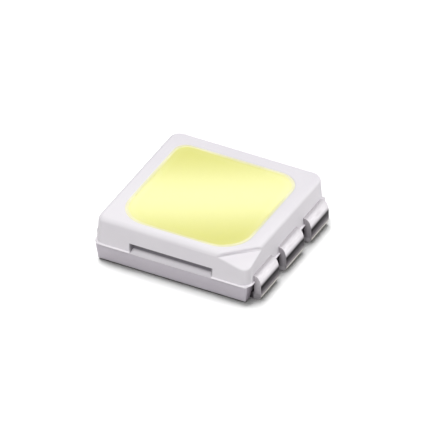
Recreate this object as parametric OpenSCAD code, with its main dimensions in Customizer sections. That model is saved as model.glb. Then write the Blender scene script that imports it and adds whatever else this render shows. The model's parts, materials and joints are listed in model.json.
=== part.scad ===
// Surface-mount LED in a six-lead moulded package, with a phosphor window in a reflector cup.
// Millimetres. Z is up, the leads stand on the left and right, and the solder plane is z = 0.

/* [Housing] */
// Width across the two rows of leads, at the parting plane
housing_x = 5.0; // [4.8:0.05:6]
// Distance from the outer leads' edges to the housing's front and back, at the parting plane
end_margin = 0.4; // [0.3:0.01:0.6]
// Height of the upper half, from the parting plane to the top face
upper_h = 0.87; // [0.75:0.01:1.4]
// Height of the lower half, from its underside to the parting plane
lower_h = 0.55; // [0.45:0.01:0.9]
// Distance by which the upper walls lean inwards over their height
upper_inset = 0.06; // [0.01:0.01:0.12]
// Distance by which the lower walls lean inwards over their height
lower_inset = 0.085; // [0.01:0.005:0.1]
// Distance by which the lower half stands back from the upper one at the front and back
parting_inset = 0.02; // [0.01:0.005:0.05]
// Radius of the two upright front corners
front_corner_r = 0.3; // [0.28:0.01:0.5]
// Radius of the two upright back corners
back_corner_r = 0.4; // [0.28:0.01:0.6]
// Radius of the upright corners of the lower half
lower_corner_r = 0.12; // [0.11:0.01:0.3]
// Radius of the rounded edge round the top face
top_edge_r = 0.15; // [0.05:0.01:0.18]
// Radius of the rounded edge round the underside
under_edge_r = 0.04; // [0.02:0.01:0.1]

/* [Window and reflector cup] */
// Width of the rim left and right of the window, out to the sharp top edge
side_rim = 0.47; // [0.35:0.01:0.7]
// Width of the rim in front of the window, out to the sharp top edge
front_rim = 0.32; // [0.3:0.01:0.7]
// Width of the rim behind the window, out to the sharp top edge
back_rim = 0.52; // [0.35:0.01:0.7]
// Radius of the window's two front corners
front_window_r = 0.9; // [0.5:0.05:1.2]
// Radius of the window's back right corner
back_window_r = 0.7; // [0.4:0.05:1.2]
// Radius of the window's tighter back left corner
tight_window_r = 0.38; // [0.33:0.01:0.9]
// Distance by which the cup's wall leans inwards from the window to the cup's floor
cup_inset = 0.28; // [0.1:0.01:0.3]
// Radius where the cup's wall meets its floor
cup_floor_r = 0.05; // [0.02:0.01:0.06]
// Depth of the encapsulant's face below the top face
fill_drop = 0.02; // [0.01:0.005:0.05]

/* [Polarity notch] */
// Length of the notch along the front edge of the top face
notch_x = 0.95; // [0.6:0.05:1.05]
// Length of the notch along the right edge of the top face
notch_y = 0.9; // [0.6:0.05:1.05]
// Height of the notch's upright step
notch_drop = 0.13; // [0.05:0.01:0.2]
// Outward slope of the notch's floor in degrees
notch_slope = 18; // [0:1:25]

/* [Slots in the long walls] */
// Length of each slot
slot_w = 2.6; // [1.5:0.1:3.2]
// Height of each slot above the parting plane
slot_h = 0.3; // [0.2:0.01:0.4]
// Depth of each slot
slot_depth = 0.21; // [0.1:0.01:0.25]

/* [Leads] */
// Distance by which the leads stand out beyond the housing on each side
lead_reach = 0.19; // [0.17:0.01:0.22]
// Distance between the middles of neighbouring leads
lead_pitch = 1.55; // [1.45:0.01:1.65]
// Width of a lead in the right-hand row
lead_w = 1.1; // [0.8:0.05:1.15]
// Width of a lead in the left-hand row
anode_lead_w = 0.5; // [0.4:0.05:1.1]
// Thickness of the lead frame
lead_t = 0.23; // [0.15:0.01:0.26]
// Outer radius of a lead's bends
bend_r = 0.18; // [0.1:0.01:0.25]
// Inner radius of a lead's bends
inner_bend_r = 0.02; // [0.01:0.005:0.03]
// Length of the foot under the housing, over its bend
foot_len = 0.9; // [0.6:0.05:1.2]
// Clearance between a lead's inner bend and the lower half of the housing
lead_gap = 0.01; // [0.005:0.005:0.03]
// Height of the housing's underside above the solder plane
standoff = 0.04; // [0.02:0.01:0.1]

/* [Lead frame inside the housing] */
// Thickness of the housing wall outside the wide part of each pad
pad_cover = 0.25; // [0.2:0.01:0.35]
// Gap between neighbouring pads in a row
pad_gap = 0.2; // [0.1:0.01:0.3]
// Gap between the two rows of pads
row_gap = 0.2; // [0.1:0.01:0.3]
// Distance from the middle to the gap between the rows
split_x = 0.65; // [0.55:0.01:0.75]
// Height of the pads above the plastic between them
pad_proud = 0.02; // [0.01:0.005:0.04]

/* [Chips] */
// Length of a chip across the rows
chip_len = 0.58; // [0.4:0.01:0.7]
// Width of a chip
chip_w = 0.26; // [0.2:0.01:0.35]
// Height of a chip
chip_h = 0.12; // [0.08:0.01:0.15]
// Distance from the middle to the middle of a chip, away from the gap between the rows
chip_offset = 0.1; // [0:0.01:0.2]
// Distance by which the outer chips stand in from the middle of their leads
chip_inset = 0.33; // [0.25:0.01:0.36]
// Thickness of the adhesive under a chip
attach_t = 0.02; // [0.01:0.005:0.03]
// Width of the adhesive's rim round a chip
attach_rim = 0.03; // [0.01:0.01:0.05]

/* [Bond wires] */
// Diameter of a wire
wire_d = 0.03; // [0.02:0.005:0.04]
// Straight rise of a wire above its ball
wire_rise = 0.06; // [0.04:0.01:0.1]
// Radius of the bend at the top of a wire
wire_bend_r = 0.06; // [0.05:0.01:0.08]
// Diameter of the ball on the chip
ball_d = 0.08; // [0.06:0.005:0.1]
// Height of the ball on the chip, and of the stitch on the pad
bond_h = 0.03; // [0.02:0.005:0.04]
// Distance from a chip's end to the middle of its ball
ball_inset = 0.08; // [0.06:0.005:0.12]
// Distance from a chip's left end to its stitch on the same pad
near_reach = 0.4; // [0.3:0.02:0.6]
// Distance from the gap between the rows to the stitch on the opposite pad
far_reach = 0.25; // [0.15:0.01:0.4]

/* [Hidden] */
$fn = 64;

// A row is -1 at the front, 0 in the middle and 1 at the back
rows = [-1, 0, 1];

parting_z = standoff + lower_h;
top_z = parting_z + upper_h;
pad_z = parting_z + lead_t;
cup_floor_z = pad_z - pad_proud;
chip_base_z = pad_z + attach_t;
chip_top_z = chip_base_z + chip_h;

row_half = lead_pitch + lead_w / 2;
housing_y = 2 * (row_half + end_margin);
top_half_x = housing_x / 2 - upper_inset;
top_half_y = housing_y / 2 - upper_inset;
outer_x = housing_x / 2 + lead_reach;
lower_x = 2 * (outer_x - lead_t - inner_bend_r - lead_gap);
lower_y = housing_y - 2 * parting_inset;
window_x = 2 * (top_half_x - side_rim);
window_y = 2 * top_half_y - front_rim - back_rim;
window_offset = (back_rim - front_rim) / 2;
pad_outer_x = housing_x / 2 - pad_cover;
chip_pitch = lead_pitch - chip_inset;
chip_left_x = -chip_offset - chip_len / 2;
chip_right_x = -chip_offset + chip_len / 2;

// Sides of a wire, and steps round the bend at its top
wire_sides = 8;
bend_steps = 6;
// Length by which a cut runs past the surface that it opens
cut_over = 0.2;
// Length by which the lower half runs up into the upper one
halves_over = 0.05;
// Flat steps round each rounded edge
edge_steps = 6;
// Finest step of a worked-out place, so that walls and corners meet at the same points
place_step = 0.0001;

// A place rounded to the finest step
function snap(place) = round(place / place_step) * place_step;

// One wall in section: x is the distance from the corner's axis or the block's middle, y the height.
// The lean runs on below the foot by the distance under.
module wall_section(foot_r, head_r, height, under, edge_r) {
    lean = atan2(foot_r - head_r, height);
    arc_r = min(edge_r, head_r);
    arc_x = snap(head_r - arc_r * (1 - sin(lean)) / cos(lean));
    arc_y = height - arc_r;
    polygon(concat(
        [[0, -under], [snap(foot_r + under * tan(lean)), -under]],
        [
            for (i = [0:edge_steps])
                let (turn = lean + (90 - lean) * i / edge_steps)
                    [snap(arc_x + arc_r * cos(turn)), snap(arc_y + arc_r * sin(turn))]
        ],
        [[0, height]]
    ));
}

// A block whose walls lean inwards from its foot, drawn as four quarters that meet in the middle.
// Its corner radii count from the front right one round to the left.
module drafted_block(size_x, size_y, corners, inset, height, under, edge_r) {
    for (side = [0:3]) {
        half_w = snap((side % 2 == 0 ? size_x : size_y) / 2);
        depth = snap((side % 2 == 0 ? size_y : size_x) / 2);
        corner_r = corners[side];
        rotate(90 * side) {
            rotate([90, 0, -90])
                mirror([0, 0, 1])
                    linear_extrude(height = half_w - corner_r)
                        wall_section(depth, depth - inset, height, under, edge_r);
            rotate([90, 0, 0])
                linear_extrude(height = depth - corner_r)
                    wall_section(half_w, half_w - inset, height, under, edge_r);
            translate([half_w - corner_r, corner_r - depth, 0])
                rotate(-90)
                    rotate_extrude(angle = 90)
                        wall_section(corner_r, corner_r - inset, height, under, edge_r);
        }
    }
}

// The cup's inside, which runs on past the top face
module cup_space() {
    translate([0, -window_offset, top_z])
        mirror([0, 0, 1])
            drafted_block(
                window_x,
                window_y,
                [front_window_r, back_window_r, tight_window_r, front_window_r],
                cup_inset,
                top_z - cup_floor_z,
                cut_over,
                cup_floor_r
            );
}

// The corner that is cut away to mark the cathode side
module polarity_notch() {
    run = notch_x + notch_y;
    translate([top_half_x - notch_x / 2, -top_half_y + notch_y / 2, top_z])
        rotate([90, 0, atan2(-notch_x, notch_y)])
            linear_extrude(height = 2 * run, center = true)
                polygon([
                    [0, -notch_drop],
                    [run, -notch_drop - run * tan(notch_slope)],
                    [run, cut_over],
                    [0, cut_over]
                ]);
}

// The slot that the lead frame's tie bar left in the front wall
module wall_slot() {
    translate([-slot_w / 2, -housing_y / 2 - cut_over, parting_z])
        cube([slot_w, slot_depth + cut_over, slot_h]);
}

// The space under the housing's right side that takes the three feet
module foot_recess() {
    inner_x = outer_x - foot_len - lead_gap;
    translate([inner_x, -row_half - lead_gap, 0])
        cube([foot_len + cut_over, 2 * (row_half + lead_gap), lead_t + lead_gap]);
}

module moulding() {
    translate([0, 0, parting_z])
        drafted_block(
            housing_x,
            housing_y,
            [front_corner_r, back_corner_r, back_corner_r, front_corner_r],
            upper_inset,
            upper_h,
            0,
            top_edge_r
        );
    translate([0, 0, parting_z])
        mirror([0, 0, 1])
            drafted_block(
                lower_x,
                lower_y,
                [lower_corner_r, lower_corner_r, lower_corner_r, lower_corner_r],
                lower_inset,
                lower_h,
                halves_over,
                under_edge_r
            );
}

// The square corner that a bend of radius r leaves outside, or fills inside
module corner_web(r) {
    difference() {
        square(r);
        translate([r, r]) circle(r = r);
    }
}

// A right-hand lead seen from the front: out of the wall, down, and under the housing
module lead_section() {
    leg_x = outer_x - lead_t;
    difference() {
        union() {
            translate([pad_outer_x - lead_t, parting_z]) square([outer_x - pad_outer_x + lead_t, lead_t]);
            translate([leg_x, 0]) square([lead_t, pad_z]);
            translate([outer_x - foot_len, 0]) square([foot_len, lead_t]);
            translate([leg_x, parting_z]) mirror([1, 1]) corner_web(inner_bend_r);
            translate([leg_x, lead_t]) mirror([1, 0]) corner_web(inner_bend_r);
        }
        translate([outer_x, pad_z]) rotate(180) corner_web(bend_r);
        translate([outer_x, 0]) mirror([1, 0]) corner_web(bend_r);
    }
}

// A lead of a given width in the right-hand row, whose pad inside the housing ends at pad_end
module lead(row, width, pad_end) {
    outer_edge = row == 0 ? (lead_pitch - pad_gap) / 2 : row_half;
    inner_edge = row == 0 ? -outer_edge : (lead_pitch + pad_gap) / 2;
    color("silver") {
        translate([0, row * lead_pitch, 0])
            rotate([90, 0, 0])
                linear_extrude(height = width, center = true)
                    lead_section();
        mirror([0, row == -1 ? 1 : 0, 0])
            translate([pad_end, inner_edge, parting_z])
                cube([pad_outer_x - pad_end, outer_edge - inner_edge, lead_t]);
    }
}

module cathode_lead(row) {
    lead(row, lead_w, split_x + row_gap / 2);
}

module anode_lead(row) {
    mirror([1, 0, 0]) lead(row, anode_lead_w, -split_x + row_gap / 2);
}

module housing() {
    color("whitesmoke")
        difference() {
            moulding();
            cup_space();
            polarity_notch();
            wall_slot();
            mirror([0, 1, 0]) wall_slot();
            foot_recess();
            mirror([1, 0, 0]) foot_recess();
            for (row = rows) {
                cathode_lead(row);
                anode_lead(row);
            }
        }
}

module die_attach(row) {
    color("gainsboro")
        translate([chip_left_x - attach_rim, row * chip_pitch - chip_w / 2 - attach_rim, pad_z])
            cube([chip_len + 2 * attach_rim, chip_w + 2 * attach_rim, attach_t]);
}

module led_chip(row) {
    color("lightsteelblue")
        translate([chip_left_x, row * chip_pitch - chip_w / 2, chip_base_z])
            cube([chip_len, chip_w, chip_h]);
}

// The ring of a wire's surface round a point of its path, which heads up at an angle
function wire_ring(point, heading) = [
    for (k = [0:wire_sides - 1])
        let (turn = 360 * k / wire_sides, side = wire_d / 2 * cos(turn))
            [point.x - side * sin(heading), wire_d / 2 * sin(turn), point.y + side * cos(heading)]
];

// A wire from its ball at the origin up, over and down to a stitch at a distance and a depth below
module bond_wire(span, depth) {
    bend_z = bond_h + wire_rise;
    fall = bend_z + depth - wire_d;
    slope = atan2(fall, span - wire_bend_r) + asin(wire_bend_r / norm([span - wire_bend_r, fall]));
    headings = [for (i = [0:bend_steps]) 90 - (90 + slope) * i / bend_steps];
    bend = [for (h = headings) [wire_bend_r * (1 - sin(h)), bend_z + wire_bend_r * cos(h)]];
    rings = concat(
        [wire_ring([0, bond_h / 2], 90)],
        [for (i = [0:bend_steps]) wire_ring(bend[i], headings[i])],
        [wire_ring([span, wire_d - depth], -slope)]
    );
    last = len(rings) - 1;
    polyhedron(
        points = [for (ring = rings) each ring],
        faces = concat(
            [[for (k = [wire_sides - 1:-1:0]) k]],
            [
                for (i = [0:last - 1], k = [0:wire_sides - 1])
                    let (a = i * wire_sides + k, b = i * wire_sides + (k + 1) % wire_sides)
                        each [[a, b, a + wire_sides], [b, b + wire_sides, a + wire_sides]]
            ],
            [[for (k = [0:wire_sides - 1]) last * wire_sides + k]]
        )
    );
    cylinder(d = ball_d, h = bond_h);
    translate([span, 0, -depth])
        cylinder(d = ball_d, h = bond_h);
}

module anode_wire(row) {
    color("gold")
        translate([chip_left_x + ball_inset, row * chip_pitch, chip_top_z])
            mirror([1, 0, 0])
                bond_wire(near_reach + ball_inset, chip_top_z - pad_z);
}

module cathode_wire(row) {
    ball_x = chip_right_x - ball_inset;
    color("gold")
        translate([ball_x, row * chip_pitch, chip_top_z])
            bond_wire(split_x + row_gap / 2 + far_reach - ball_x, chip_top_z - pad_z);
}

module encapsulant() {
    color([0.99, 0.98, 0.62])
        difference() {
            cup_space();
            translate([-window_x / 2 - cut_over, -window_y / 2 - window_offset - cut_over, top_z - fill_drop])
                cube([window_x + 2 * cut_over, window_y + 2 * cut_over, fill_drop + 2 * cut_over]);
            for (row = rows) {
                anode_lead(row);
                cathode_lead(row);
                die_attach(row);
                led_chip(row);
                anode_wire(row);
                cathode_wire(row);
            }
        }
}

housing();
encapsulant();
anode_lead(-1);  // anode_lead_front
anode_lead(0);  // anode_lead_middle
anode_lead(1);  // anode_lead_back
cathode_lead(-1);  // cathode_lead_front
cathode_lead(0);  // cathode_lead_middle
cathode_lead(1);  // cathode_lead_back
led_chip(-1);  // led_chip_front
led_chip(0);  // led_chip_middle
led_chip(1);  // led_chip_back
die_attach(-1);  // die_attach_front
die_attach(0);  // die_attach_middle
die_attach(1);  // die_attach_back
anode_wire(-1);  // anode_wire_front
anode_wire(0);  // anode_wire_middle
anode_wire(1);  // anode_wire_back
cathode_wire(-1);  // cathode_wire_front
cathode_wire(0);  // cathode_wire_middle
cathode_wire(1);  // cathode_wire_back
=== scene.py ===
import json
import math

import bmesh
import bpy
from mathutils import Matrix, Vector

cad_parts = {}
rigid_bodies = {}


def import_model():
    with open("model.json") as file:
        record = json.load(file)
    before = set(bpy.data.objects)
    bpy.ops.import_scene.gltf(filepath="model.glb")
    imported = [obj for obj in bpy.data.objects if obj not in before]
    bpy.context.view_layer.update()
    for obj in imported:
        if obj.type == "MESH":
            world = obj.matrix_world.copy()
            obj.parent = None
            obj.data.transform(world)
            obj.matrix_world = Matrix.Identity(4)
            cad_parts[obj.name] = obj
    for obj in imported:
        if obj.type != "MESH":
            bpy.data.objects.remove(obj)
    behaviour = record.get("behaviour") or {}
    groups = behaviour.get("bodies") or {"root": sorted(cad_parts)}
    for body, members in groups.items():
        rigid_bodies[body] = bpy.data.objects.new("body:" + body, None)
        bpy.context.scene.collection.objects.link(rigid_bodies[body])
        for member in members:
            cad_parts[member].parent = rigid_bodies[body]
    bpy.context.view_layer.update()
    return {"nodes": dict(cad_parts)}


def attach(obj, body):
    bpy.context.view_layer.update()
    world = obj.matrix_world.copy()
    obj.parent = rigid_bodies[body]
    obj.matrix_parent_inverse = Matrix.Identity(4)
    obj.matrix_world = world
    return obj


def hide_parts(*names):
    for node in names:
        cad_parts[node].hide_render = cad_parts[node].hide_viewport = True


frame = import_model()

scene = bpy.context.scene
nodes = frame["nodes"]
mm = 0.001

# Camera: a long lens at the photograph's angle, lengths in millimetres

cameraLook = {
    "azimuth": 27.5,
    "elevation": 35.7,
    "roll": -0.13,
    "distance": 400.0,
    "aimRight": 0.066,
    "aimUp": 0.680,
    "frameWidth": 12.068,
}


def awayFrom(azimuth, elevation):
    turn, lift = math.radians(azimuth), math.radians(elevation)
    return Vector((math.sin(turn) * math.cos(lift), -math.cos(turn) * math.cos(lift), math.sin(lift)))


def makeCamera(look):
    turn, roll = math.radians(look["azimuth"]), math.radians(look["roll"])
    right = Vector((math.cos(turn), math.sin(turn), 0.0))
    back = awayFrom(look["azimuth"], look["elevation"])
    up = back.cross(right)
    rolledRight = right * math.cos(roll) + up * math.sin(roll)
    rolledUp = up * math.cos(roll) - right * math.sin(roll)
    place = (rolledRight * look["aimRight"] + rolledUp * look["aimUp"] + back * look["distance"]) * mm
    data = bpy.data.cameras.new("longLens")
    data.sensor_width = 36.0
    data.lens = data.sensor_width * look["distance"] / look["frameWidth"]
    data.clip_start, data.clip_end = 0.01, 10.0
    camera = bpy.data.objects.new("longLens", data)
    camera.matrix_world = Matrix.Translation(place) @ Matrix((rolledRight, rolledUp, back)).transposed().to_4x4()
    scene.collection.objects.link(camera)
    scene.camera = camera


makeCamera(cameraLook)
print("stage: camera")

# Shader helpers: a socket as a value is linked, anything else is set


def addNode(tree, kind, settings=None, inputs=None):
    node = tree.nodes.new("ShaderNode" + kind)
    for key, value in (settings or {}).items():
        setattr(node, key, value)
    for key, value in (inputs or {}).items():
        if isinstance(value, bpy.types.NodeSocket):
            tree.links.new(value, node.inputs[key])
        else:
            node.inputs[key].default_value = value
    return node


def calc(tree, operation, first, second=0.0):
    return addNode(tree, "Math", {"operation": operation}, {0: first, 1: second}).outputs[0]


def spread(tree, value, low, high, toLow=0.0, toHigh=1.0, smooth=False):
    kind = "SMOOTHSTEP" if smooth else "LINEAR"
    inputs = {"Value": value, "From Min": low, "From Max": high, "To Min": toLow, "To Max": toHigh}
    return addNode(tree, "MapRange", {"interpolation_type": kind}, inputs).outputs["Result"]


def blendColours(tree, amount, first, second, kind="MIX"):
    node = addNode(tree, "Mix", {"data_type": "RGBA", "blend_type": kind})
    for key, value in (("Factor_Float", amount), ("A_Color", first), ("B_Color", second)):
        socket = next(s for s in node.inputs if s.identifier == key)
        if isinstance(value, bpy.types.NodeSocket):
            tree.links.new(value, socket)
        else:
            socket.default_value = value
    return next(s for s in node.outputs if s.identifier == "Result_Color")


def ramp(tree, value, stops):
    node = addNode(tree, "ValToRGB", inputs={"Fac": value})
    points = node.color_ramp.elements
    while len(points) < len(stops):
        points.new(0.5)
    for point, (place, colour) in zip(points, stops):
        point.position = place
        point.color = (*colour, 1.0)
    return node.outputs["Color"]


def noise(tree, where, scale, detail=2.0, roughness=0.5):
    inputs = {"Vector": where, "Scale": scale, "Detail": detail, "Roughness": roughness}
    return addNode(tree, "TexNoise", inputs=inputs).outputs["Fac"]


def startMaterial(name):
    material = bpy.data.materials.new(name)
    material.use_nodes = True
    tree = material.node_tree
    where = addNode(tree, "TexCoord").outputs["Object"]
    scaled = addNode(tree, "Mapping", inputs={"Vector": where, "Scale": (1 / mm, 1 / mm, 1 / mm)})
    return material, tree, tree.nodes["Principled BSDF"], scaled.outputs["Vector"]


def addBump(tree, shader, height, strength, distance):
    bump = addNode(tree, "Bump", inputs={"Height": height, "Strength": strength, "Distance": distance * mm})
    tree.links.new(bump.outputs["Normal"], shader.inputs["Normal"])


# Studio: a white surround, a white floor and soft lamps

studio = {
    "floorSize": 2400.0,
    "surroundLight": 0.40,
    "floorSeen": 0.30,  # share of its light that the camera, gloss and glass see
    "floorBounce": 0.10,  # share that lights the sides of the part
}

# name: azimuth and elevation of the lamp in degrees, distance and size in millimetres, and power
lamps = {
    "frontBox": {"azimuth": 8, "elevation": 60, "distance": 500, "size": (210, 210), "power": 1.15},
    "sideBox": {"azimuth": 122, "elevation": 20, "distance": 500, "size": (250, 250), "power": 0.69},
    "bandStrip": {"azimuth": 207.5, "elevation": 36, "distance": 500, "size": (375, 31), "power": 0.265},
    "floorBox": {"azimuth": 240, "elevation": 73, "distance": 500, "size": (300, 300), "power": 11.0, "only": "floor"},
}


def makeLamp(name, look):
    away = awayFrom(look["azimuth"], look["elevation"])
    data = bpy.data.lights.new(name, "AREA")
    data.shape = "RECTANGLE"
    data.size, data.size_y = (s * mm for s in look["size"])
    data.energy = look["power"]
    lamp = bpy.data.objects.new(name, data)
    lamp.rotation_mode = "QUATERNION"
    lamp.rotation_quaternion = away.to_track_quat("Z", "Y")
    lamp.location = away * look["distance"] * mm
    scene.collection.objects.link(lamp)
    if "only" in look:
        lit = bpy.data.collections.new(name + "Lights")
        lit.objects.link(bpy.data.objects[look["only"]])
        lamp.light_linking.receiver_collection = lit


def seenDirectly(tree):
    path = addNode(tree, "LightPath").outputs
    seen = calc(tree, "MAXIMUM", path["Is Camera Ray"], path["Is Glossy Ray"])
    return calc(tree, "MAXIMUM", seen, path["Is Transmission Ray"])


def makeSurround(look):
    world = bpy.data.worlds.new("surround")
    scene.world = world
    world.use_nodes = True
    tree = world.node_tree
    tree.nodes.clear()
    dim = addNode(tree, "Background", inputs={"Color": (1, 1, 1, 1), "Strength": look["surroundLight"]})
    white = addNode(tree, "Background", inputs={"Color": (1, 1, 1, 1), "Strength": 1.0})
    mix = addNode(tree, "MixShader", inputs={0: seenDirectly(tree), 1: dim.outputs[0], 2: white.outputs[0]})
    addNode(tree, "OutputWorld", inputs={"Surface": mix.outputs[0]})


def makeFloor(look):
    builder = bmesh.new()
    bmesh.ops.create_grid(builder, x_segments=1, y_segments=1, size=look["floorSize"] / 2 * mm)
    mesh = bpy.data.meshes.new("floor")
    builder.to_mesh(mesh)
    builder.free()
    floor = bpy.data.objects.new("floor", mesh)
    scene.collection.objects.link(floor)
    material = bpy.data.materials.new("floorWhite")
    material.use_nodes = True
    tree = material.node_tree
    tree.nodes.clear()
    shades = [(look[key],) * 3 + (1.0,) for key in ("floorBounce", "floorSeen")]
    colour = blendColours(tree, seenDirectly(tree), *shades)
    matte = addNode(tree, "BsdfDiffuse", inputs={"Color": colour})
    addNode(tree, "OutputMaterial", inputs={"Surface": matte.outputs[0]})
    mesh.materials.append(material)


makeSurround(studio)
makeFloor(studio)
for lampName, lampLook in lamps.items():
    makeLamp(lampName, lampLook)
scene.view_settings.view_transform = "Standard"
print("stage: studio")

# Moulded plastic: white with a faint lilac tint, with painted shade below the parting line, beside the leads, on the
# steep walls and deep in the slots, and painted shade fading across the top and sides

plasticLook = {
    "light": (0.95, 0.92, 0.955, 1.0),
    "cloud": (0.925, 0.893, 0.935, 1.0),
    # The next six colours are painted shade: below the parting line, beside the leads, in the slots, towards the back
    # of the top, towards the front of the sides and on the steep walls
    "lowerHalfShade": (0.82, 0.795, 0.83, 1.0),
    "besideLeadsShade": (0.6, 0.58, 0.6, 1.0),
    "slotShade": (0.23, 0.215, 0.24, 1.0),
    "topShadeFade": (0.905, 0.90, 0.915, 1.0),
    "sideShadeFade": (0.84, 0.84, 0.84, 1.0),
    "walls": (0.955, 0.95, 0.955, 1.0),
    "partingZ": 0.59,
    "slot": {"halfWidth": 1.31, "top": 0.89, "mouth": 2.47},
    "roughness": (0.42, 0.55),
    "grain": 28.0,
}


def makePlastic(look):
    material, tree, shader, where = startMaterial("mouldedPlastic")
    axes = addNode(tree, "SeparateXYZ", inputs={"Vector": where}).outputs
    clouds = spread(tree, noise(tree, where, 0.9, 4.0), 0.35, 0.65)
    colour = blendColours(tree, clouds, look["light"], look["cloud"])
    facing = addNode(tree, "SeparateXYZ", inputs={"Vector": addNode(tree, "TexCoord").outputs["Normal"]}).outputs
    # painted shade: upward faces darken towards the back
    back = spread(tree, axes["Y"], -2.2, 2.4)
    topShadeFade = calc(tree, "MULTIPLY", back, spread(tree, facing["Z"], 0.6, 0.9))
    colour = blendColours(tree, topShadeFade, colour, look["topShadeFade"], "MULTIPLY")
    # painted shade: sideways faces darken towards the front
    front = spread(tree, axes["Y"], 2.2, -2.2)
    sideShadeFade = calc(tree, "MULTIPLY", front, spread(tree, facing["X"], 0.6, 0.9))
    colour = blendColours(tree, sideShadeFade, colour, look["sideShadeFade"], "MULTIPLY")
    # painted shade: steep walls a touch darker than the top
    steep = spread(tree, calc(tree, "ABSOLUTE", facing["Z"]), 0.6, 0.25)
    colour = blendColours(tree, steep, colour, look["walls"], "MULTIPLY")
    # painted shade below the parting line
    below = spread(tree, axes["Z"], look["partingZ"], look["partingZ"] - 0.03)
    colour = blendColours(tree, below, colour, look["lowerHalfShade"], "MULTIPLY")
    # painted shade on the lower half's sides between the leads
    besideLeadsShade = calc(tree, "MULTIPLY", below, spread(tree, calc(tree, "ABSOLUTE", facing["X"]), 0.8, 0.95))
    colour = blendColours(tree, besideLeadsShade, colour, look["besideLeadsShade"], "MULTIPLY")
    slot = look["slot"]
    across = calc(tree, "ABSOLUTE", axes["X"])
    along = calc(tree, "ABSOLUTE", axes["Y"])
    insideX = spread(tree, across, slot["halfWidth"] + 0.02, slot["halfWidth"])
    insideZ = calc(tree, "MULTIPLY", spread(tree, axes["Z"], look["partingZ"] + 0.02, look["partingZ"] + 0.06),
                   spread(tree, axes["Z"], slot["top"] + 0.02, slot["top"]))
    deep = calc(tree, "MULTIPLY", spread(tree, along, slot["mouth"], slot["mouth"] - 0.03),
                spread(tree, along, 2.2, 2.24))
    shaded = calc(tree, "MULTIPLY", calc(tree, "MULTIPLY", insideX, insideZ), deep)
    colour = blendColours(tree, shaded, colour, look["slotShade"])
    tree.links.new(colour, shader.inputs["Base Color"])
    grain = noise(tree, where, look["grain"], 3.0)
    tree.links.new(spread(tree, grain, 0.3, 0.7, *look["roughness"]), shader.inputs["Roughness"])
    addBump(tree, shader, grain, 0.25, 0.002)
    return material


# Phosphor silicone: pale yellow, creamy where it runs out thin over the white rim

siliconeLook = {
    "rim": (0.92, 0.89, 0.60),
    "edge": (0.80, 0.79, 0.19),
    "body": (0.775, 0.765, 0.15),
    "roughness": (0.12, 0.15),
    "rimDulled": 0.1,
    "grain": 55.0,
}


def makeSilicone(look):
    material, tree, shader, where = startMaterial("phosphorSilicone")
    depth = addNode(tree, "Attribute", {"attribute_name": "rimDistance"}).outputs["Fac"]
    wander = spread(tree, noise(tree, where, 5.0, 3.0), 0.0, 1.0, -0.02, 0.02)
    place = calc(tree, "ADD", depth, wander)
    stops = [(0.0, look["rim"]), (0.02, look["rim"]), (0.10, look["edge"]), (0.3, look["body"]), (1.0, look["body"])]
    colour = ramp(tree, place, stops)
    powder = noise(tree, where, look["grain"], 2.0)
    speckle = spread(tree, powder, 0.35, 0.7, 0.0, 0.12)
    colour = blendColours(tree, speckle, colour, (0.90, 0.84, 0.32, 1.0))
    tree.links.new(colour, shader.inputs["Base Color"])
    shader.inputs["IOR"].default_value = 1.5
    gloss = spread(tree, powder, 0.3, 0.7, *look["roughness"])
    dull = spread(tree, place, 0.12, 0.03, 0.0, look["rimDulled"])
    tree.links.new(calc(tree, "ADD", gloss, dull), shader.inputs["Roughness"])
    addBump(tree, shader, powder, 0.03, 0.0005)
    return material


# Plating: bright on the flats, with painted shade and a painted dark reflection on the outer faces and a painted
# highlight along the lower bend

platingLook = {
    "bright": (0.64, 0.62, 0.64, 1.0),
    "endFaceTone": (0.42, 0.40, 0.42, 1.0),
    "outerX": 2.45,
    # outer faces by height: a painted highlight low on the bend, then painted shade and dark reflection, brightening
    # into the shoulder
    "outerStops": [(0.0, (0.97, 0.94, 0.87)), (0.19, (0.97, 0.94, 0.87)), (0.23, (0.32, 0.30, 0.31)),
                   (0.36, (0.11, 0.10, 0.11)), (0.52, (0.02, 0.018, 0.02)), (0.60, (0.008, 0.007, 0.008)),
                   (0.69, (0.45, 0.43, 0.45)),
                   (0.76, (0.62, 0.60, 0.62))],
    "shoulderZ": 0.82,
    # heights of the painted highlight along the lower bend, where the plating turns unmetallic
    "bendHighlight": (0.22, 0.19),
    # painted shade on the leads where they tuck in under the housing
    "inner": (0.22, 0.21, 0.22, 1.0),
    "roughness": (0.58, 0.72),
}


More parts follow.
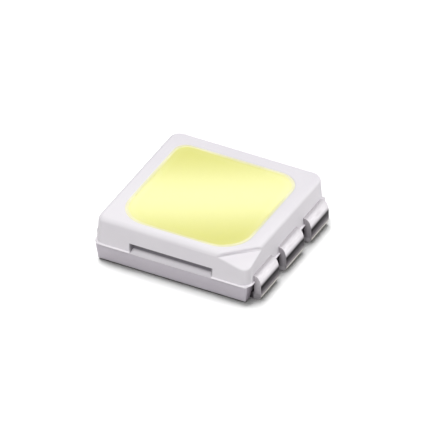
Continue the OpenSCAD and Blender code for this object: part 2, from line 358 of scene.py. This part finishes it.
def makePlating(look):
    material, tree, shader, where = startMaterial("leadPlating")
    axes = addNode(tree, "SeparateXYZ", inputs={"Vector": where}).outputs
    facing = addNode(tree, "SeparateXYZ", inputs={"Vector": addNode(tree, "TexCoord").outputs["Normal"]}).outputs
    height = calc(tree, "DIVIDE", axes["Z"], look["shoulderZ"])
    outer = spread(tree, calc(tree, "ABSOLUTE", axes["X"]), look["outerX"] - 0.01, look["outerX"] + 0.01)
    ends = spread(tree, calc(tree, "ABSOLUTE", facing["Y"]), 0.75, 0.9)
    stretched = addNode(tree, "Mapping", inputs={"Vector": where, "Scale": (6.0, 1.2, 9.0)}).outputs["Vector"]
    streaks = noise(tree, stretched, 3.0, 4.0, 0.6)
    drawn = calc(tree, "ADD", height, spread(tree, streaks, 0.0, 1.0, -0.02, 0.02))
    # the outer faces take the painted highlight, shade and dark reflection from the height ramp
    colour = blendColours(tree, outer, look["bright"], ramp(tree, drawn, look["outerStops"]))
    # end faces facing along Y take a darker grey than the flats
    colour = blendColours(tree, ends, colour, look["endFaceTone"])
    colour = blendColours(tree, spread(tree, streaks, 0.3, 0.7, 0.0, 0.18), colour, (0.7, 0.68, 0.7, 1.0), "MULTIPLY")
    # painted shade on the tucked-in inner parts of the leads
    tucked = calc(tree, "MULTIPLY", spread(tree, height, 0.04, 0.06), spread(tree, height, 0.70, 0.66))
    inner = spread(tree, calc(tree, "ABSOLUTE", axes["X"]), look["outerX"] + 0.02, look["outerX"] - 0.02)
    colour = blendColours(tree, calc(tree, "MULTIPLY", tucked, inner), colour, look["inner"], "MULTIPLY")
    tree.links.new(colour, shader.inputs["Base Color"])
    # painted highlight: the lower bend of the outer faces loses its metal so it catches diffuse light
    pale = calc(tree, "MULTIPLY", spread(tree, height, *look["bendHighlight"]), spread(tree, height, 0.03, 0.06))
    pale = calc(tree, "MULTIPLY", pale, outer)
    tree.links.new(spread(tree, pale, 0.0, 1.0, 1.0, 0.0), shader.inputs["Metallic"])
    tree.links.new(spread(tree, streaks, 0.3, 0.7, *look["roughness"]), shader.inputs["Roughness"])
    addBump(tree, shader, streaks, 0.15, 0.003)
    return material


# The small pieces inside the cup


def makeChipFace():
    material, tree, shader, where = startMaterial("chipCrystal")
    layers = addNode(tree, "TexWave", {"wave_type": "BANDS", "bands_direction": "DIAGONAL"},
                     {"Vector": where, "Scale": 3.0, "Distortion": 1.5}).outputs["Fac"]
    tree.links.new(ramp(tree, layers, [(0.0, (0.42, 0.50, 0.66)), (1.0, (0.60, 0.68, 0.78))]), shader.inputs["Base Color"])
    tree.links.new(spread(tree, noise(tree, where, 12.0), 0.3, 0.7, 0.08, 0.2), shader.inputs["Roughness"])
    return material


def makeAdhesive():
    material, tree, shader, where = startMaterial("dieAdhesive")
    lumps = noise(tree, where, 14.0, 4.0)
    tree.links.new(ramp(tree, lumps, [(0.3, (0.78, 0.78, 0.75)), (0.7, (0.88, 0.88, 0.86))]), shader.inputs["Base Color"])
    tree.links.new(spread(tree, lumps, 0.3, 0.7, 0.45, 0.7), shader.inputs["Roughness"])
    addBump(tree, shader, lumps, 0.3, 0.004)
    return material


def makeGold():
    material, tree, shader, where = startMaterial("goldWire")
    drawn = noise(tree, where, 30.0, 2.0)
    tree.links.new(ramp(tree, drawn, [(0.3, (0.90, 0.66, 0.25)), (0.7, (0.97, 0.77, 0.38))]), shader.inputs["Base Color"])
    shader.inputs["Metallic"].default_value = 1.0
    tree.links.new(spread(tree, drawn, 0.3, 0.7, 0.15, 0.3), shader.inputs["Roughness"])
    return material


plastic, silicone, plating = makePlastic(plasticLook), makeSilicone(siliconeLook), makePlating(platingLook)
finishes = {"housing": plastic, "encapsulant": silicone, "anode_lead": plating, "cathode_lead": plating,
            "led_chip": makeChipFace(), "die_attach": makeAdhesive(), "anode_wire": makeGold()}
finishes["cathode_wire"] = finishes["anode_wire"]
for name, node in nodes.items():
    finish = next(look for start, look in finishes.items() if name.startswith(start))
    node.data.materials.clear()
    node.data.materials.append(finish)
print("stage: materials")

# Pieces are shaped in millimetres and brought to metres at the end


def mergedCopy(name):
    builder = bmesh.new()
    builder.from_mesh(nodes[name].data)
    bmesh.ops.scale(builder, vec=(1 / mm,) * 3, verts=builder.verts)
    bmesh.ops.remove_doubles(builder, verts=builder.verts, dist=0.00005)
    bmesh.ops.dissolve_degenerate(builder, edges=builder.edges, dist=0.00005)
    bmesh.ops.dissolve_limit(builder, angle_limit=math.radians(0.5), verts=builder.verts, edges=builder.edges)
    return builder


def sharpEdges(builder, angle):
    limit = math.radians(angle)
    return [e for e in builder.edges if e.is_manifold and e.calc_face_angle(0.0) > limit]


def awayFromCorners(edges, limit=2.2):
    return [e for e in edges if not all(min(abs(v.co.x), abs(v.co.y)) > limit for v in e.verts)]


def roundEdges(builder, edges, radius, segments):
    bmesh.ops.bevel(builder, geom=edges, affect="EDGES", offset_type="OFFSET", offset=radius, segments=segments,
                    profile=0.5, material=-1, clamp_overlap=False, loop_slide=True)


def finishPiece(builder, name, material, replaced, smoothAngle=40.0):
    openEdges = sum(not e.is_manifold for e in builder.edges)
    print(name, len(builder.verts), "points", len(builder.faces), "faces", openEdges, "open edges")
    bmesh.ops.scale(builder, vec=(mm,) * 3, verts=builder.verts)
    for face in builder.faces:
        face.smooth = True
    mesh = bpy.data.meshes.new(name)
    builder.to_mesh(mesh)
    builder.free()
    mesh.set_sharp_from_angle(angle=math.radians(smoothAngle))
    piece = bpy.data.objects.new(name, mesh)
    scene.collection.objects.link(piece)
    mesh.materials.append(material)
    weighted = piece.modifiers.new("evenShading", "WEIGHTED_NORMAL")
    weighted.keep_sharp = True
    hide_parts(replaced)
    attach(piece, "root")
    return piece


# Housing: a proud lip at the parting line, soft rims round the cup, the notch and the slots

housingShape = {
    "lipLow": 0.598,
    "lipRise": 0.024,
    "lipProud": 0.042,
    "lipTurns": (0.0, 22.5, 45.0, 67.5, 90.0),
    "halfWidth": 2.5,
    "cornerTop": 0.645,
    "frontCorner": 0.3,
    "backCorner": 0.4,
    "partingZ": 0.59,
    "draft": 0.069,
    "lowerDraft": 0.1545,
    "lowerMiddle": (2.31, 2.36),
    "wallBand": 2.2,
    "rimRadius": 0.05,
    "notchRadius": 0.05,
    "edgeRadius": 0.012,
    "slotRadius": 0.028,
    "sharpAngle": 46.0,
}


def settleCorners(builder, shape):
    ledge = shape["partingZ"] + 0.001
    for vert in builder.verts:
        radius = shape["backCorner"] if vert.co.y > 0 else shape["frontCorner"]
        middle = shape["halfWidth"] - radius
        across, along = abs(vert.co.x) - middle, abs(vert.co.y) - middle
        limit = radius - shape["draft"] * max(0.0, vert.co.z - shape["partingZ"]) + 0.001
        if not ledge < vert.co.z < shape["cornerTop"] or min(across, along) < 0 or math.hypot(across, along) < limit:
            continue
        outward = Vector((abs(vert.co.x) - shape["lowerMiddle"][0], abs(vert.co.y) - shape["lowerMiddle"][1]))
        inward = outward.normalized() * shape["lowerDraft"] * (vert.co.z - ledge)
        vert.co.x -= math.copysign(inward.x, vert.co.x)
        vert.co.y -= math.copysign(inward.y, vert.co.y)
        vert.co.z = ledge


def raiseLip(builder, shape):
    low, rise = shape["lipLow"], shape["lipRise"]
    for turn in shape["lipTurns"]:
        geometry = builder.verts[:] + builder.edges[:] + builder.faces[:]
        height = low + rise * math.sin(math.radians(turn))
        bmesh.ops.bisect_plane(builder, geom=geometry, dist=0.0001, plane_co=(0, 0, height), plane_no=(0, 0, 1))
    for vert in builder.verts:
        if vert.co.z > low and max(abs(vert.co.x), abs(vert.co.y)) > shape["wallBand"]:
            climb = min(1.0, (vert.co.z - low) / rise)
            shrink = 1 - shape["lipProud"] * (1 - math.sqrt(1 - climb ** 2)) / shape["halfWidth"]
            vert.co.x, vert.co.y = vert.co.x * shrink, vert.co.y * shrink


def makeHousing(shape):
    builder = mergedCopy("housing")
    settleCorners(builder, shape)
    raiseLip(builder, shape)
    lipTop = shape["lipLow"] + shape["lipRise"]
    topZ = max(v.co.z for v in builder.verts)
    rim = [e for e in sharpEdges(builder, shape["sharpAngle"])
           if all(v.co.z > topZ - 0.001 and max(abs(v.co.x), abs(v.co.y + 0.1)) < 2.1 for v in e.verts)]
    roundEdges(builder, rim, shape["rimRadius"], 3)
    mouth = [e for e in sharpEdges(builder, shape["sharpAngle"])
             if all(abs(v.co.x) < 1.35 and abs(v.co.y) > 2.44 and v.co.z > lipTop - 0.001 for v in e.verts)]
    roundEdges(builder, mouth, shape["slotRadius"], 2)
    cut = [e for e in sharpEdges(builder, shape["sharpAngle"])
           if all(v.co.x - v.co.y > 3.75 and v.co.z > 1.1 for v in e.verts)]
    roundEdges(builder, cut, shape["notchRadius"], 3)
    edges = [e for e in awayFromCorners(sharpEdges(builder, shape["sharpAngle"]))
             if not all(0.58 < v.co.z < lipTop + 0.002 and max(abs(v.co.x), abs(v.co.y)) > 2.4 for v in e.verts)]
    roundEdges(builder, edges, shape["edgeRadius"], 2)
    return finishPiece(builder, "mouldedHousing", plastic, "housing", 30.0)


makeHousing(housingShape)
print("stage: housing")

# Silicone: the fill dips a little towards the middle and climbs the rim

fillShape = {
    "middle": (0.0, -0.1),
    "seat": -0.0065,
    "climb": 0.002,
    "climbWidth": 0.04,
    "spread": 0.023,
    "bowlFrom": 0.05,
    "sideCuts": 23,
    "dip": 0.04,
    "curve": 0.8,
    "steps": (-0.012, 0.012, 0.03, 0.055, 0.09, 0.14, 0.2, 0.3, 0.42, 0.56, 0.72, 0.9, 1.1, 1.3, 1.5, 1.7, 1.86),
    "halfWidth": 1.97,
}


def makeFill(shape):
    builder = mergedCopy("encapsulant")
    topZ = max(v.co.z for v in builder.verts)
    cap = [f for f in builder.faces if f.normal.z > 0.9 and all(v.co.z > topZ - 0.001 for v in f.verts)]
    rimEdges = [e for f in cap for e in f.edges if sum(g in cap for g in e.link_faces) == 1]
    bmesh.ops.delete(builder, geom=cap, context="FACES")
    depthLayer = builder.verts.layers.float.new("rimDistance")
    long = [e for e in rimEdges if e.calc_length() > 0.3]
    bmesh.ops.subdivide_edges(builder, edges=long, cuts=shape["sideCuts"])
    rimEdges = [e for e in builder.edges if e.is_boundary]
    rimVerts = list({v for e in rimEdges for v in e.verts})
    middle = Matrix.Translation((-shape["middle"][0], -shape["middle"][1], 0.0))
    wider = 1 + shape["spread"] / shape["halfWidth"]
    bmesh.ops.scale(builder, vec=(wider, wider, 1), verts=rimVerts, space=middle)
    bmesh.ops.translate(builder, vec=(0, 0, shape["seat"]), verts=rimVerts)
    ring, last = rimEdges, -shape["spread"]
    for distance in shape["steps"]:
        grown = bmesh.ops.extrude_edge_only(builder, edges=ring)["geom"]
        ringVerts = [g for g in grown if isinstance(g, bmesh.types.BMVert)]
        ring = [g for g in grown if isinstance(g, bmesh.types.BMEdge) and all(v in ringVerts for v in g.verts)]
        factor = (shape["halfWidth"] - distance) / (shape["halfWidth"] - last)
        bmesh.ops.scale(builder, vec=(factor, factor, 1), verts=ringVerts, space=middle)
        climb = shape["climb"] * math.exp(-distance / shape["climbWidth"])
        near = min(1.0, max(0.0, distance / shape["bowlFrom"]))
        blend = near ** 2 * (3 - 2 * near)
        for vert in ringVerts:
            reach = (Vector((vert.co.x - shape["middle"][0], vert.co.y - shape["middle"][1])).length
                     / shape["halfWidth"])
            vert.co.z = topZ + climb - shape["dip"] * blend * (1 - shape["curve"] * reach ** 2)
            vert[depthLayer] = distance
        last = distance
    bmesh.ops.contextual_create(builder, geom=ring)
    bmesh.ops.recalc_face_normals(builder, faces=builder.faces)
    return finishPiece(builder, "phosphorFill", silicone, "encapsulant")


makeFill(fillShape)
print("stage: silicone")

# Leads: a long soft shoulder, rounded lower corners and coined edges

leadShape = {
    "wallX": 2.48,
    "outerX": 2.69,
    "topZ": 0.82,
    "bendEnd": 0.64,
    "shoulderEnd": 0.47,
    "lowerEnd": 0.25,
    "cornerZ": (0.08, 0.2),
    "cornerIn": 0.06,
    "edgeRadius": 0.014,
    "sharpAngle": 46.0,
}


def softenBend(builder, shape):
    across, fall = shape["outerX"] - shape["wallX"], shape["topZ"] - shape["shoulderEnd"]
    middleY = sum(v.co.y for v in builder.verts if abs(v.co.x) > shape["wallX"]) / max(
        1, sum(abs(v.co.x) > shape["wallX"] for v in builder.verts))
    for vert in builder.verts:
        out = abs(vert.co.x) - shape["wallX"]
        if out < 0.02:
            continue
        z = vert.co.z
        if z > shape["bendEnd"] - 0.001:
            vert.co.z = shape["shoulderEnd"] + fall * math.sqrt(max(0.0, 1 - (out / across) ** 2))
        low, high = shape["cornerZ"]
        tuck = max(0.0, 1 - (z - low) / (high - low)) if z > low else z / low
        vert.co.y -= math.copysign(shape["cornerIn"] * min(1.0, tuck) ** 2, vert.co.y - middleY)


def makeLead(name, shape):
    builder = mergedCopy(name)
    softenBend(builder, shape)
    roundEdges(builder, sharpEdges(builder, shape["sharpAngle"]), shape["edgeRadius"], 2)
    return finishPiece(builder, "plated_" + name, plating, name)


for name in [n for n in nodes if "_lead_" in n]:
    makeLead(name, leadShape)
print("stage: leads")
